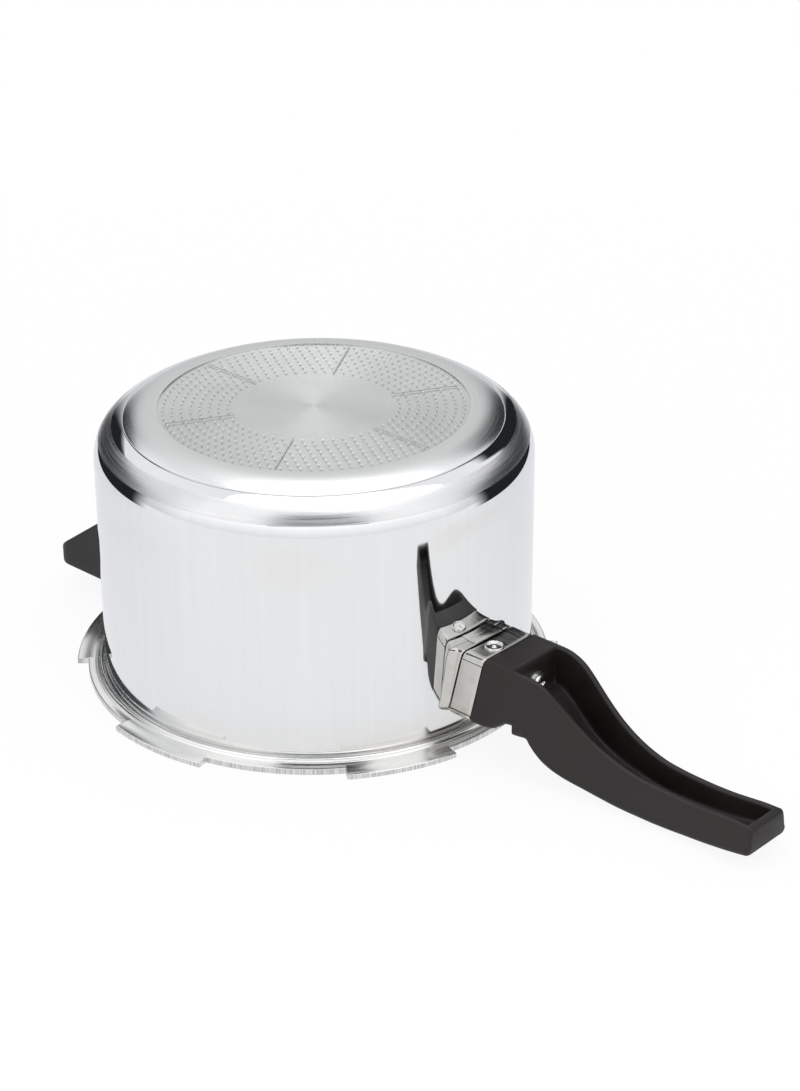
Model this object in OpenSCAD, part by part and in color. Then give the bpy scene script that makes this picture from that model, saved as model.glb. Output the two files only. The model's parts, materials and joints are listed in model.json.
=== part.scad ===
// Pan of an outer-lid pressure cooker, standing upside down on its rim.
// The rim plane is z = 0, the pan's axis is Z, the base is on top and the
// long handle points along +X. All sizes are millimetres.

/* [Pan] */
// Outside radius of the straight wall
pan_r = 110; // [88:1:140]
// Height from the rim to the outside of the pressed pan bottom
pan_h = 138; // [110:1:180]
// Thickness of the wall
wall_t = 3; // [2.5:0.25:4]
// Thickness of the pressed bottom
bottom_t = 3.5; // [3:0.25:5]
// Outside radius of the shoulder between wall and bottom
shoulder_r = 20; // [14:1:24]

/* [Rim] */
// How far the rim flange stands out from the wall
flange_w = 8.8; // [7:0.2:12]
// Thickness of the rim flange
flange_t = 3.6; // [2.8:0.1:5]
// How far the raised collar stands out from the wall
collar_w = 3.2; // [2:0.1:4]
// Height of the raised collar above the flange
collar_h = 1.8; // [1:0.1:3]
// Number of locking lugs
lug_n = 6; // [4:1:8]
// Angle that one lug covers, in degrees
lug_angle = 26; // [20:1:32]
// Direction of the first lug from the long handle, in degrees
lug_start = 33.5; // [20:0.5:40]
// How far a lug stands out from the flange
lug_w = 5.7; // [4:0.1:8]
// Thickness of a lug
lug_t = 2.8; // [2:0.1:2.8]

/* [Base] */
// How far the base disc's edge stands inside the line of the wall
disc_inset = 14.4; // [12:0.2:20]
// How far the base disc stands proud of the pan bottom
disc_h = 4; // [3:0.1:6]
// Width of the disc's broad rounded edge
disc_edge_w = 15.6; // [12:0.2:20]
// Width of the bare rim between the induction plate and the rounded edge
plate_margin = 2; // [0.5:0.5:8]
// Thickness of the induction plate
plate_t = 0.8; // [0.6:0.1:1.2]
// Clearance around the induction plate
plate_play = 0.1; // [0.05:0.05:0.3]
// Radius of the plate's bare centre, where its radial lines start
plate_centre_r = 40; // [30:1:44]

/* [Long handle bracket] */
// Lowest point of the bracket above the rim plane
bracket_z = 19.5; // [17:0.5:21]
// Top of the bracket above the rim plane
bracket_top = 52.2; // [47:0.2:60]
// Depth of the bracket's collar at its low side
bracket_low_d = 3.2; // [3:0.1:5]
// Depth of the bracket's collar at its high side
bracket_high_d = 6.6; // [5:0.1:8]
// Sheet thickness of the bracket
bracket_t = 2; // [1.5:0.1:2.5]
// Half of the width of the tongue that enters the ferrule
tongue_w = 15; // [12:0.5:15]
// How far the tongue reaches past the pan wall
tongue_d = 18; // [17:0.5:19]
// Radius of the rivet shanks
rivet_r = 2.4; // [1.5:0.1:3]
// Radius of the rivet heads
rivet_head_r = 4.2; // [3:0.1:4.5]
// Height of the rivet heads outside the pan
rivet_head_h = 1.4; // [1:0.1:2]
// Depth of the rivets' countersunk heads inside the pan
rivet_sink = 1.6; // [1:0.1:2]
// Clearance of a shank in its hole
shank_play = 0.15; // [0.05:0.05:0.3]

/* [Ferrule] */
// Gap between bracket and ferrule
ferrule_gap = 0.8; // [0.3:0.1:0.9]
// Sheet thickness of the ferrule
ferrule_t = 1.2; // [0.8:0.1:1.6]
// Reach of the grip seam from the pan wall, low side
seam_low_d = 14.4; // [13:0.1:16]
// Reach of the grip seam from the pan wall, high side
seam_high_d = 18.8; // [18:0.1:22]
// Radius of the ferrule screw's head
ferrule_head_r = 4.6; // [3.5:0.1:5]
// Radius of the ferrule screw's shank
ferrule_screw_r = 2; // [1.5:0.1:2.5]
// Sideways offset of the ferrule screw, which clears the grip screw
ferrule_screw_y = -4.5; // [-6:0.5:6]

/* [Long grip] */
// Length of the handle from the pan wall to the grip's tip
grip_l = 174; // [150:1:210]
// Lower edge of the grip at the pan, above the rim plane
grip_z = 19; // [17:0.5:21]
// Half of the grip's width at the pan, at its lower edge
root_low_w = 24; // [22:0.5:28]
// Half of the grip's width at the pan, at its upper edge
root_high_w = 18.8; // [18:0.1:24]
// Height of the flat land on the grip, above the rim plane
grip_top = 52.5; // [47:0.5:60]
// Length of the flat land from the pan wall
land_d = 42; // [38:1:50]
// Lowest point of the grip's belly
belly_z = 1.1; // [0.3:0.1:4]
// Height of the grip's edge at its waist
waist_z = 19.2; // [14:0.2:24]
// Distance from the pan wall to the waist
waist_d = 116; // [108:1:126]
// Top of the grip's tip
tip_top = 20.8; // [16:0.2:26]
// Underside of the grip's tip
tip_z = 7.2; // [4:0.2:9]
// Half of the grip's width at the waist's upper edge
waist_w = 11.7; // [9:0.1:16]
// Half of the grip's width at the tip's upper edge
tip_w = 12.8; // [10:0.1:17]
// Thickness of the grip's side walls
grip_wall = 3.6; // [2.6:0.1:4.5]
// Thickness of the grip's floor
grip_floor = 5; // [3:0.5:6]
// Distance from the pan wall to the grip's pocket
pocket_d = 35.5; // [32:0.5:37]
// Clearance between the grip and the metal inside it
grip_play = 0.25; // [0.1:0.05:0.4]
// Distance from the pan wall to the grip's notch
notch_d = 28; // [26:0.5:30]
// Height of the notch above the grip's lower edge
notch_h = 7; // [3:0.5:8]
// Depth of the step behind the notch
notch_step = 4.2; // [2:0.2:5]

/* [Grip screw] */
// Height of the screw's axis above the rim plane
screw_z = 39; // [34:0.5:40]
// Radius of the screw's shank
screw_r = 2.9; // [2:0.1:3]
// Radius of the screw's head
screw_head_r = 5; // [4:0.1:5.5]
// Height of the screw's head
screw_head_h = 3.2; // [2:0.1:4]
// Radius of the washer
washer_r = 6.2; // [5.6:0.1:7]
// Thickness of the washers
washer_t = 1; // [0.8:0.1:1.6]
// Width across the flats of the nut
nut_af = 10; // [8:0.5:11]
// Thickness of the nut
nut_t = 5; // [3:0.5:5]

/* [Helper handle] */
// Length of the helper from the pan wall to its outer end
helper_l = 51.5; // [46:0.5:62]
// Half of the helper's width
helper_w = 37; // [30:0.5:45]
// Underside of the helper above the rim plane
helper_z = 13; // [11:0.5:15]
// Highest edge of the helper above the rim plane
helper_top = 52; // [49:0.5:58]
// Length of the helper's level top edge from the pan wall
helper_land_d = 10.5; // [8:0.5:12]
// Radius that rounds the helper's outer end
helper_end_r = 6; // [4:0.5:8]
// Radius that rounds the helper's corners in plan
helper_corner_r = 8; // [5:0.5:12]
// Thickness of the helper's walls
helper_wall = 3.4; // [2.6:0.1:4]
// Gap between the helper and the pan
helper_gap = 0.6; // [0.3:0.1:0.9]
// Half of the width of the helper's bracket
helper_bracket_w = 14; // [13:0.5:18]
// Lowest point of the helper's bracket
helper_bracket_z = 18; // [17:0.5:19]
// Height of the helper's bracket
helper_bracket_h = 26; // [25:0.5:28]
// Depth of the helper's bracket along the handle
helper_bracket_d = 9; // [8:0.5:10]
// Radius of the helper screw's shank
helper_screw_r = 2.4; // [2:0.1:2.5]
// Radius of the helper screw's head
helper_head_r = 4.4; // [4:0.1:5]
// Width across the flats of the helper's nut
helper_nut_af = 8; // [7:0.5:8]
// Thickness of the helper's nut
helper_nut_t = 4; // [3:0.5:4]

/* [Hidden] */
$fn = 96;
eps = 0.02;
far = 400;
curve_steps = 14;

// Pan
bore_r = pan_r - wall_t;
floor_z = pan_h - bottom_t;
inner_shoulder_r = shoulder_r - wall_t;
flange_r = pan_r + flange_w;
lug_r = flange_r + lug_w;
collar_r = pan_r + collar_w;
collar_z = flange_t + collar_h;
flange_edge_r = 0.8;
collar_edge_r = 0.8;
neck_r = 1.2;
lug_pitch = 360 / lug_n;

// Base
disc_z = pan_h;
disc_r = pan_r - disc_inset;
disc_flat_r = disc_r - disc_edge_w;
plate_r = disc_flat_r - plate_margin;
disc_top = disc_z + disc_h;
seam_groove = 0.5;
shoulder_x = pan_r - shoulder_r;
shoulder_drop = shoulder_r - sqrt(pow(shoulder_r, 2) - pow(max(disc_r - shoulder_x, 0), 2));
seam_z = disc_z - shoulder_drop;
disc_edge_a = 2 * atan((disc_top - seam_z) / disc_edge_w);
disc_edge_r = disc_edge_w / sin(disc_edge_a);
line_n = 6;
line_w = 0.9;
line_depth = 0.3;
line_margin = 1.5;
line_in_r = plate_centre_r;
line_out_r = plate_r - line_margin;

// Bracket: the collar hugs the pan and the tongue enters the grip
collar_slope = (bracket_high_d - bracket_low_d) / (bracket_top - bracket_z);
plate_in_r = pan_r + bracket_t;
seat_play = 0.05;
tongue_low = bracket_z + 4.5;
tongue_high = bracket_top - 3.8;
tongue_x = pan_r + tongue_d;
rivet_in_r = bore_r + 0.12;
rivet_y = tongue_w - bracket_t - rivet_head_r - 1;
rivet_turn = asin(rivet_y / pan_r);
rivet_low = tongue_low + bracket_t + rivet_head_r + 0.4;
rivet_high = tongue_high - bracket_t - rivet_head_r - 0.4;

// Ferrule and the slanted seam between ferrule and grip
seam_low = pan_r + seam_low_d;
seam_high = pan_r + seam_high_d;
seam_slope = (seam_high - seam_low) / (grip_top - grip_z);
spigot_l = 4.5;
ferrule_screw_x = pan_r + (bracket_high_d + ferrule_gap + seam_high_d) / 2 + 0.5;
ferrule_screw_l = 6.2;
ferrule_head_h = 1.2;

// Grip
grip_reach = pan_r + grip_l;
waist_x = pan_r + waist_d;
land_x = pan_r + land_d;
pocket_x = pan_r + pocket_d;
notch_x = pan_r + notch_d;
notch_l = 8.3;
notch_flat = 4.7;
stop_l = 7.1;
stop_x = notch_x + notch_l + notch_flat;
stop_z = grip_z + notch_h - notch_step;
belly_x = waist_x - 4;
slope_in = 25;
slope_out = 38;
draft_slope = (root_low_w - root_high_w) / (grip_top - grip_z);
draft = atan(draft_slope);
root_w = root_low_w + draft_slope * grip_z;
mid_w = waist_w + draft_slope * waist_z;
end_w = tip_w + draft_slope * tip_top;

// Screw train
nut_x = tongue_x - bracket_t - nut_t;
screw_tip_x = nut_x - 0.6;
slot_w = 1.2;
slot_depth = 1.2;

// Helper
helper_reach = pan_r + helper_l;
helper_in_r = pan_r + helper_gap;
helper_land_x = pan_r + helper_land_d;
helper_end_x = helper_reach - helper_end_r;
helper_end_z = helper_z + helper_end_r;
helper_end_a = atan2(helper_top - helper_end_z, helper_land_x - helper_end_x)
    - acos(helper_end_r / norm([helper_top - helper_end_z, helper_land_x - helper_end_x]));
helper_bracket_x = pan_r + helper_bracket_d;
helper_inner_x = helper_bracket_x + grip_play + 4.5;
helper_screw_z = helper_bracket_z + helper_bracket_h / 2;
helper_nut_x = helper_bracket_x - bracket_t - helper_nut_t;
helper_rivet_y = helper_bracket_w - bracket_t - rivet_head_r - 0.3;
helper_rivet_turn = asin(helper_rivet_y / pan_r);
helper_rivet_step = helper_bracket_h / 2 - bracket_t - rivet_head_r - 0.3;

// Points along a cubic Bezier curve through a, b, c and d
function bezier(a, b, c, d, n = curve_steps) =
    [for (i = [0 : n]) let (t = i / n)
        a * pow(1 - t, 3) + 3 * b * t * pow(1 - t, 2)
        + 3 * c * pow(t, 2) * (1 - t) + d * pow(t, 3)];

// Points along an arc about c, from angle a to angle b
function arc(c, r, a, b, n = 8) =
    [for (i = [0 : n]) let (t = a + (b - a) * i / n)
        c + r * [cos(t), sin(t)]];

// Solid of revolution about Z from an outline in (radius, height)
module turned() {
    rotate_extrude() children();
}

// Extrusion of an outline in (x, z), centred across the handle
module side_extrude(half) {
    translate([0, half, 0])
        rotate([90, 0, 0])
            linear_extrude(2 * half) children();
}

// Cylinder whose axis is X, from x0 to x1
module x_cylinder(x0, x1, r) {
    translate([x0, 0, 0])
        rotate([0, 90, 0])
            cylinder(h = x1 - x0, r = r);
}

// Hexagon prism whose axis is X, from x0 to x1
module x_hex(x0, x1, across) {
    translate([x0, 0, 0])
        rotate([0, 90, 0])
            cylinder(h = x1 - x0, r = across / sqrt(3), $fn = 6);
}

// Outer outline of the pan's bottom and shoulder, filled
module shell_outer() {
    square([pan_r, pan_h - shoulder_r]);
    square([shoulder_x, pan_h]);
    translate([shoulder_x, pan_h - shoulder_r])
        circle(shoulder_r);
}

// Outline of the pressed shell with its flange and collar
module shell_outline() {
    difference() {
        union() {
            translate([0, collar_z])
                square([pan_r, pan_h - collar_z - shoulder_r]);
            square([pan_r - shoulder_r, pan_h]);
            translate([pan_r - shoulder_r, pan_h - shoulder_r])
                circle(shoulder_r);
            square([flange_r - flange_edge_r, flange_t]);
            square([flange_r, flange_t - flange_edge_r]);
            translate([flange_r - flange_edge_r, flange_t - flange_edge_r])
                circle(flange_edge_r);
            square([collar_r - collar_edge_r, collar_z]);
            square([collar_r, collar_z - collar_edge_r]);
            translate([collar_r - collar_edge_r, collar_z - collar_edge_r])
                circle(collar_edge_r);
            difference() {
                translate([pan_r - eps, collar_z - eps])
                    square(neck_r + eps);
                translate([pan_r + neck_r, collar_z + neck_r])
                    circle(neck_r);
            }
        }
        translate([-1, -1])
            square([bore_r + 1, floor_z - inner_shoulder_r + 1]);
        translate([-1, -1])
            square([bore_r - inner_shoulder_r + 1, floor_z + 1]);
        translate([bore_r - inner_shoulder_r, floor_z - inner_shoulder_r])
            circle(inner_shoulder_r);
        translate([-2, -1])
            square([2, pan_h + 2]);
    }
}

// One locking lug, centred on direction a
module lug(a) {
    rotate_extrude(angle = lug_angle, start = a - lug_angle / 2)
        translate([flange_r - 2, 0])
            square([lug_w + 2, lug_t]);
}

// Cone whose axis is X, from x0 to x1
module x_cone(x0, x1, r0, r1) {
    translate([x0, 0, 0])
        rotate([0, 90, 0])
            cylinder(h = x1 - x0, r1 = r0, r2 = r1);
}

// Radial rivets: one for each height in zs and each turn either side of +X.
// Their inner heads are countersunk, so the pan's bore stays clear.
module rivets(zs, turn, outer_r) {
    for (z = zs)
        for (a = [-turn, turn])
            rotate([0, 0, a])
                translate([0, 0, z]) {
                    x_cylinder(rivet_in_r, outer_r + eps, rivet_r);
                    x_cone(rivet_in_r, rivet_in_r + rivet_sink, rivet_head_r, rivet_r);
                    x_cylinder(outer_r, outer_r + rivet_head_h, rivet_head_r);
                }
}

// Holes for those rivets
module rivet_holes(zs, turn) {
    for (z = zs)
        for (a = [-turn, turn])
            rotate([0, 0, a])
                translate([0, 0, z]) {
                    x_cylinder(bore_r - 5, pan_r + 10, rivet_r + shank_play);
                    x_cone(rivet_in_r, rivet_in_r + rivet_sink,
                        rivet_head_r + shank_play, rivet_r + shank_play);
                    x_cylinder(bore_r - 5, rivet_in_r, rivet_head_r + shank_play);
                }
}

bracket_rivet_zs = [rivet_low, rivet_high];
helper_rivet_zs = [helper_screw_z - helper_rivet_step, helper_screw_z + helper_rivet_step];

module pan_body() {
    color("gainsboro")
        difference() {
            union() {
                turned() shell_outline();
                for (i = [0 : lug_n - 1])
                    lug(lug_start + i * lug_pitch);
            }
            rivet_holes(bracket_rivet_zs, rivet_turn);
            mirror([1, 0, 0])
                rivet_holes(helper_rivet_zs, helper_rivet_turn);
        }
}

module base_disc() {
    color("silver")
        difference() {
            turned()
                difference() {
                    union() {
                        translate([0, seam_z])
                            square([disc_flat_r, disc_top - seam_z]);
                        intersection() {
                            translate([disc_flat_r, disc_top - disc_edge_r])
                                circle(disc_edge_r);
                            translate([disc_flat_r, seam_z])
                                square([disc_edge_w, disc_top - seam_z]);
                        }
                    }
                    shell_outer();
                    // Groove at the seam between disc and pan
                    translate([disc_r - seam_groove, seam_z - 1])
                        square([seam_groove + 1, 1 + seam_groove]);
                }
            translate([0, 0, disc_top - plate_t])
                cylinder(h = plate_t + 1, r = plate_r + plate_play);
        }
}

module induction_plate() {
    color("darkgray")
        difference() {
            translate([0, 0, disc_top - plate_t])
                cylinder(h = plate_t, r = plate_r);
            for (i = [0 : line_n - 1])
                rotate([0, 0, i * 360 / line_n])
                    translate([line_in_r, -line_w / 2, disc_top - line_depth])
                        cube([line_out_r - line_in_r, line_w, 1]);
        }
}

// Prism whose plan is w wide each side of the handle's axis at z = 0 and
// whose sides lean in by the draft angle. pts are points (x, w).
module drafted(pts) {
    x0 = pts[0][0];
    x1 = pts[len(pts) - 1][0];
    outline = concat([[x0, -far / 4]], [for (p = pts) [p[0], p[1] * cos(draft)]], [[x1, -far / 4]]);
    intersection_for (side = [0, 1])
        mirror([0, side, 0])
            rotate([draft, 0, 0])
                translate([0, 0, -far / 8])
                    linear_extrude(far / 2) polygon(outline);
}

// The drafted block that bracket, ferrule and grip share at the pan
module root_block(x1, low, high, inset) {
    intersection() {
        drafted([[pan_r - 20, root_w - inset], [x1, root_w - inset]]);
        translate([0, -far / 2, low])
            cube([far, far, high - low]);
    }
}

// Cone about the pan's axis that follows the bracket's outer face
module collar_cone(gap) {
    translate([0, 0, bracket_z - 10])
        cylinder(h = bracket_top - bracket_z + 20,
            r1 = pan_r + bracket_low_d + gap - 10 * collar_slope,
            r2 = pan_r + bracket_high_d + gap + 10 * collar_slope);
}

module tongue_block(x1, half, low, high) {
    translate([pan_r - 8, -half, low])
        cube([x1 - pan_r + 8, 2 * half, high - low]);
}

module handle_bracket() {
    color("lightgray")
        difference() {
            union() {
                difference() {
                    intersection() {
                        root_block(pan_r + 20, bracket_z, bracket_top, 0);
                        collar_cone(0);
                    }
                    difference() {
                        root_block(pan_r + 20, bracket_z + bracket_t,
                            bracket_top - bracket_t, bracket_t);
                        cylinder(h = far, r = plate_in_r);
                    }
                }
                tongue_block(tongue_x, tongue_w, tongue_low, tongue_high);
            }
            difference() {
                tongue_block(tongue_x - bracket_t, tongue_w - bracket_t,
                    tongue_low + bracket_t, tongue_high - bracket_t);
                cylinder(h = far, r = plate_in_r);
            }
            translate([0, 0, -1])
                cylinder(h = far, r = pan_r + seat_play);
            rivet_holes(bracket_rivet_zs, rivet_turn);
            translate([0, 0, screw_z])
                x_cylinder(tongue_x - bracket_t - 1, tongue_x + 1, screw_r + shank_play);
            translate([ferrule_screw_x, ferrule_screw_y, tongue_high - bracket_t - 1])
                cylinder(h = bracket_t + 2, r = ferrule_screw_r + shank_play);
        }
}

module bracket_rivets() {
    color("silver")
        rivets(bracket_rivet_zs, rivet_turn, plate_in_r);
}

module bracket_nut() {
    color("darkgray")
        translate([0, 0, screw_z])
            difference() {
                x_hex(nut_x, nut_x + nut_t, nut_af);
                x_cylinder(nut_x - 1, nut_x + nut_t + 1, screw_r + shank_play);
            }
}

// Everything on the pan's side of the seam, moved out by shift
module before_seam(shift) {
    side_extrude(far / 4)
        polygon([
            [pan_r - 10, grip_z - 10],
            [seam_low + shift - 10 * seam_slope, grip_z - 10],
            [seam_high + shift + 10 * seam_slope, grip_top + 10],
            [pan_r - 10, grip_top + 10]]);
}

// The ferrule's volume, drawn in by inset all round
module ferrule_block(inset) {
    root_block(seam_high + 5, grip_z + inset, grip_top - inset, inset);
}

module handle_ferrule() {
    color("lightgray")
        difference() {
            intersection() {
                ferrule_block(0);
                before_seam(0);
            }
            ferrule_block(ferrule_t);
            collar_cone(ferrule_gap);
            translate([ferrule_screw_x, ferrule_screw_y, grip_top - ferrule_t - 1])
                cylinder(h = ferrule_t + 2, r = ferrule_screw_r + shank_play);
        }
}

module ferrule_screw() {
    color("silver")
        translate([ferrule_screw_x, ferrule_screw_y, grip_top])
            difference() {
                union() {
                    translate([0, 0, -ferrule_screw_l])
                        cylinder(h = ferrule_screw_l + eps, r = ferrule_screw_r);
                    cylinder(h = ferrule_head_h, r = ferrule_head_r);
                }
                translate([-slot_w / 2, -ferrule_head_r, ferrule_head_h - slot_depth / 2])
                    cube([slot_w, 2 * ferrule_head_r, slot_depth]);
            }
}

// Upper edge of the grip from the land to the tip
function grip_edge() = concat(
    bezier([land_x, grip_top], [land_x + slope_in, grip_top],
        [waist_x - slope_out, waist_z], [waist_x, waist_z]),
    bezier([waist_x, waist_z], [waist_x + 20, waist_z],
        [grip_reach - 20, tip_top - 0.6], [grip_reach, tip_top], 6));

// Underside of the grip from the finger stop to the tip
function grip_belly() = concat(
    bezier([stop_x + stop_l + 1.4, stop_z - 1.3], [stop_x + stop_l + 8, stop_z - 9.3],
        [belly_x - 38, belly_z + 0.3], [belly_x, belly_z], 10),
    bezier([belly_x, belly_z], [belly_x + 28, belly_z],
        [grip_reach - 16, tip_z - 3.4], [grip_reach, tip_z], 8));

// Side view of the whole grip in (x, z)
module grip_side() {
    polygon(concat(
        [[pan_r, grip_top]],
        grip_edge(),
        [for (i = [len(grip_belly()) - 1 : -1 : 0]) grip_belly()[i]],
        [[stop_x + stop_l, stop_z + 0.5],
         [stop_x, stop_z],
         [stop_x, stop_z + notch_step],
         [notch_x + notch_l, stop_z + notch_step - 0.7],
         [notch_x, grip_z + 0.8],
         [notch_x - 6, grip_z],
         [pan_r, grip_z]]));
}

// Plan of the grip as points (x, w), drawn in by inset on its sides
function grip_half(x_from, x_to, inset) = concat(
    [[x_from, root_w - inset]],
    bezier([land_x - 2, root_w - inset], [land_x + 14, root_w - inset],
        [waist_x - 36, mid_w + 0.5 - inset], [waist_x, mid_w - inset], 10),
    bezier([waist_x, mid_w - inset], [waist_x + 20, mid_w - 0.3 - inset],
        [x_to - 24, mid_w - inset], [x_to, end_w - inset], 6));

// Side view of the pocket, whose floor follows the belly
module pocket_side() {
    floor_pts = [for (p = grip_belly()) if (p[0] > stop_x + stop_l + 12)
        [p[0], p[1] + grip_floor]];
    polygon(concat(
        [[pocket_x, grip_top + 5],
         [grip_reach, grip_top + 5],
         [grip_reach, tip_z + grip_floor]],
        [for (i = [len(floor_pts) - 1 : -1 : 0]) floor_pts[i]],
        [[pocket_x, stop_z + notch_step + grip_floor]]));
}

module long_grip() {
    color([0.2, 0.19, 0.19])
        difference() {
            union() {
                intersection() {
                    side_extrude(far / 4) grip_side();
                    drafted(grip_half(pan_r, grip_reach, 0));
                    difference() {
                        translate([pan_r, -far / 4, -1])
                            cube([far, far / 2, far / 2]);
                        before_seam(grip_play);
                    }
                }
                // Spigot inside the ferrule
                intersection() {
                    ferrule_block(ferrule_t + grip_play);
                    before_seam(grip_play + eps);
                    difference() {
                        translate([pan_r, -far / 4, 0])
                            cube([far, far / 2, far / 2]);
                        before_seam(-spigot_l);
                    }
                }
            }
            // Pocket that opens on the underside in use
            intersection() {
                side_extrude(far / 4) pocket_side();
                drafted(grip_half(pan_r, grip_reach - grip_wall, grip_wall));
            }
            // Socket for the bracket's tongue
            tongue_block(tongue_x + grip_play, tongue_w + grip_play,
                tongue_low - grip_play, tongue_high + grip_play);
            translate([0, 0, screw_z])
                x_cylinder(tongue_x - 2, pocket_x + 2, screw_r + shank_play + 0.1);
            translate([ferrule_screw_x, ferrule_screw_y, tongue_high - 5])
                cylinder(h = 20, r = ferrule_screw_r + shank_play + 0.1);
        }
}

module grip_screw() {
    head_x = pocket_x + washer_t;
    color("silver")
        translate([0, 0, screw_z])
            difference() {
                union() {
                    x_cylinder(screw_tip_x, head_x + eps, screw_r);
                    x_cylinder(head_x, head_x + screw_head_h, screw_head_r);
                }
                translate([head_x + screw_head_h - slot_depth, -slot_w / 2, -far / 2])
                    cube([slot_depth + 1, slot_w, far]);
            }
}

module grip_washer() {
    color("silver")
        translate([0, 0, screw_z])
            difference() {
                x_cylinder(pocket_x, pocket_x + washer_t, washer_r);
                x_cylinder(pocket_x - 1, pocket_x + washer_t + 1, screw_r + shank_play);
            }
}

module helper_bracket() {
    color("lightgray")
        mirror([1, 0, 0])
            difference() {
                tongue_block(helper_bracket_x, helper_bracket_w,
                    helper_bracket_z, helper_bracket_z + helper_bracket_h);
                difference() {
                    tongue_block(helper_bracket_x - bracket_t, helper_bracket_w - bracket_t,
                        helper_bracket_z + bracket_t,
                        helper_bracket_z + helper_bracket_h - bracket_t);
                    cylinder(h = far, r = plate_in_r);
                }
                translate([0, 0, -1])
                    cylinder(h = far, r = pan_r + seat_play);
                rivet_holes(helper_rivet_zs, helper_rivet_turn);
                translate([0, 0, helper_screw_z])
                    x_cylinder(helper_nut_x, helper_bracket_x + 1, helper_screw_r + shank_play);
            }
}

module helper_rivets() {
    color("silver")
        mirror([1, 0, 0])
            rivets(helper_rivet_zs, helper_rivet_turn, plate_in_r);
}

module helper_nut() {
    color("darkgray")
        mirror([1, 0, 0])
            translate([0, 0, helper_screw_z])
                difference() {
                    x_hex(helper_nut_x, helper_nut_x + helper_nut_t, helper_nut_af);
                    x_cylinder(helper_nut_x - 1, helper_nut_x + helper_nut_t + 1,
                        helper_screw_r + shank_play);
                }
}

// Side view of the helper in (x, z): level at the pan, then a slope that
// runs tangent into its round end
module helper_side() {
    polygon(concat(
        [[pan_r - 10, helper_z]],
        arc([helper_end_x, helper_end_z], helper_end_r, -90, helper_end_a, 14),
        [[helper_land_x, helper_top],
         [pan_r - 10, helper_top]]));
}

// Plan of the helper in (x, y), with rounded outer corners
module helper_plan(inset) {
    r = helper_corner_r - inset;
    x = helper_reach - inset;
    y = helper_w - inset;
    polygon(concat(
        [[pan_r - 10, -y]],
        arc([x - r, -y + r], r, -90, 0),
        arc([x - r, y - r], r, 0, 90),
        [[pan_r - 10, y]]));
}

module helper_grip() {
    color([0.2, 0.19, 0.19])
        mirror([1, 0, 0])
            difference() {
                intersection() {
                    side_extrude(far / 4) helper_side();
                    linear_extrude(far / 2) helper_plan(0);
                }
                translate([0, 0, -1])
                    cylinder(h = far, r = helper_in_r);
                // Pocket that opens on the underside in use
                intersection() {
                    translate([helper_inner_x, -far / 4, helper_z + helper_wall])
                        cube([far, far / 2, far / 2]);
                    linear_extrude(far / 2) helper_plan(helper_wall);
                }
                tongue_block(helper_bracket_x + grip_play, helper_bracket_w + grip_play,
                    helper_bracket_z - grip_play,
                    helper_bracket_z + helper_bracket_h + grip_play);
                translate([0, 0, helper_screw_z])
                    x_cylinder(pan_r, helper_inner_x + 1, helper_screw_r + shank_play + 0.1);
            }
}

module helper_screw() {
    head_x = helper_inner_x + washer_t;
    color("silver")
        mirror([1, 0, 0])
            translate([0, 0, helper_screw_z])
                difference() {
                    union() {
                        x_cylinder(helper_nut_x, head_x + eps, helper_screw_r);
                        x_cylinder(head_x, head_x + screw_head_h, helper_head_r);
                    }
                    translate([head_x + screw_head_h - slot_depth, -slot_w / 2, -far / 2])
                        cube([slot_depth + 1, slot_w, far]);
                }
}

module helper_washer() {
    color("silver")
        mirror([1, 0, 0])
            translate([0, 0, helper_screw_z])
                difference() {
                    x_cylinder(helper_inner_x, helper_inner_x + washer_t, washer_r);
                    x_cylinder(helper_inner_x - 1, helper_inner_x + washer_t + 1,
                        helper_screw_r + shank_play);
                }
}

pan_body();
base_disc();
induction_plate();
handle_bracket();
bracket_rivets();
bracket_nut();
handle_ferrule();
ferrule_screw();
long_grip();
grip_screw();
grip_washer();
helper_bracket();
helper_rivets();
helper_nut();
helper_grip();
helper_screw();
helper_washer();
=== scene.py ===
"""Looks of the upturned pressure cooker pan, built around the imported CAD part.

Metres, in the part's own frame: the pan's axis is Z, the rim stands on z = 0,
the base is on top and the long handle points along +X.
"""

import json
import math

import bmesh
import bpy
from mathutils import Matrix, Vector
from mathutils.geometry import delaunay_2d_cdt


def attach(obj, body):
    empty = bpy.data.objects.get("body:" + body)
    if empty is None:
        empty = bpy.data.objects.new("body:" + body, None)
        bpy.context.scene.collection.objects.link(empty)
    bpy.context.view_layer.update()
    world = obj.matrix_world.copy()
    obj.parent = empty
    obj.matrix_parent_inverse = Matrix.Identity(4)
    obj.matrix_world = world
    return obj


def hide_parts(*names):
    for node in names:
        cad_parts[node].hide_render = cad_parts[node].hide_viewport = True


MM = 0.001
TAU = 2 * math.pi

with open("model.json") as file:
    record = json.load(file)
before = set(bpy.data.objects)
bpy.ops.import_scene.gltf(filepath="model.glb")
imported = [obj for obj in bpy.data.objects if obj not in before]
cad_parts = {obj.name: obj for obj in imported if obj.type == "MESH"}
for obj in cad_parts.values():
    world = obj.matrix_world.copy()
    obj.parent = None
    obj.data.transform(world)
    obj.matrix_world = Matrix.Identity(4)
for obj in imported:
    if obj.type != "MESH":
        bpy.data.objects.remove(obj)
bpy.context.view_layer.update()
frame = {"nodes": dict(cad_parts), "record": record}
nodes = frame["nodes"]

# ---------------------------------------------------------------- sizes, mm

# Pan, from the outside of its wall to its rim
PAN_R = 110.0
PAN_H = 138.0
WALL = 3.0
BOTTOM = 3.5
SHOULDER_R = 20.0
FLANGE_R = 118.8
FLANGE_T = 3.6
BETWEEN_TOP = 3.25
COLLAR_R = 113.2
COLLAR_Z = 5.4
LUG_R = 124.5
LUG_T = 2.8
LUG_COUNT = 6
LUG_SPAN = 26.0
LUG_START = 33.5

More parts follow.
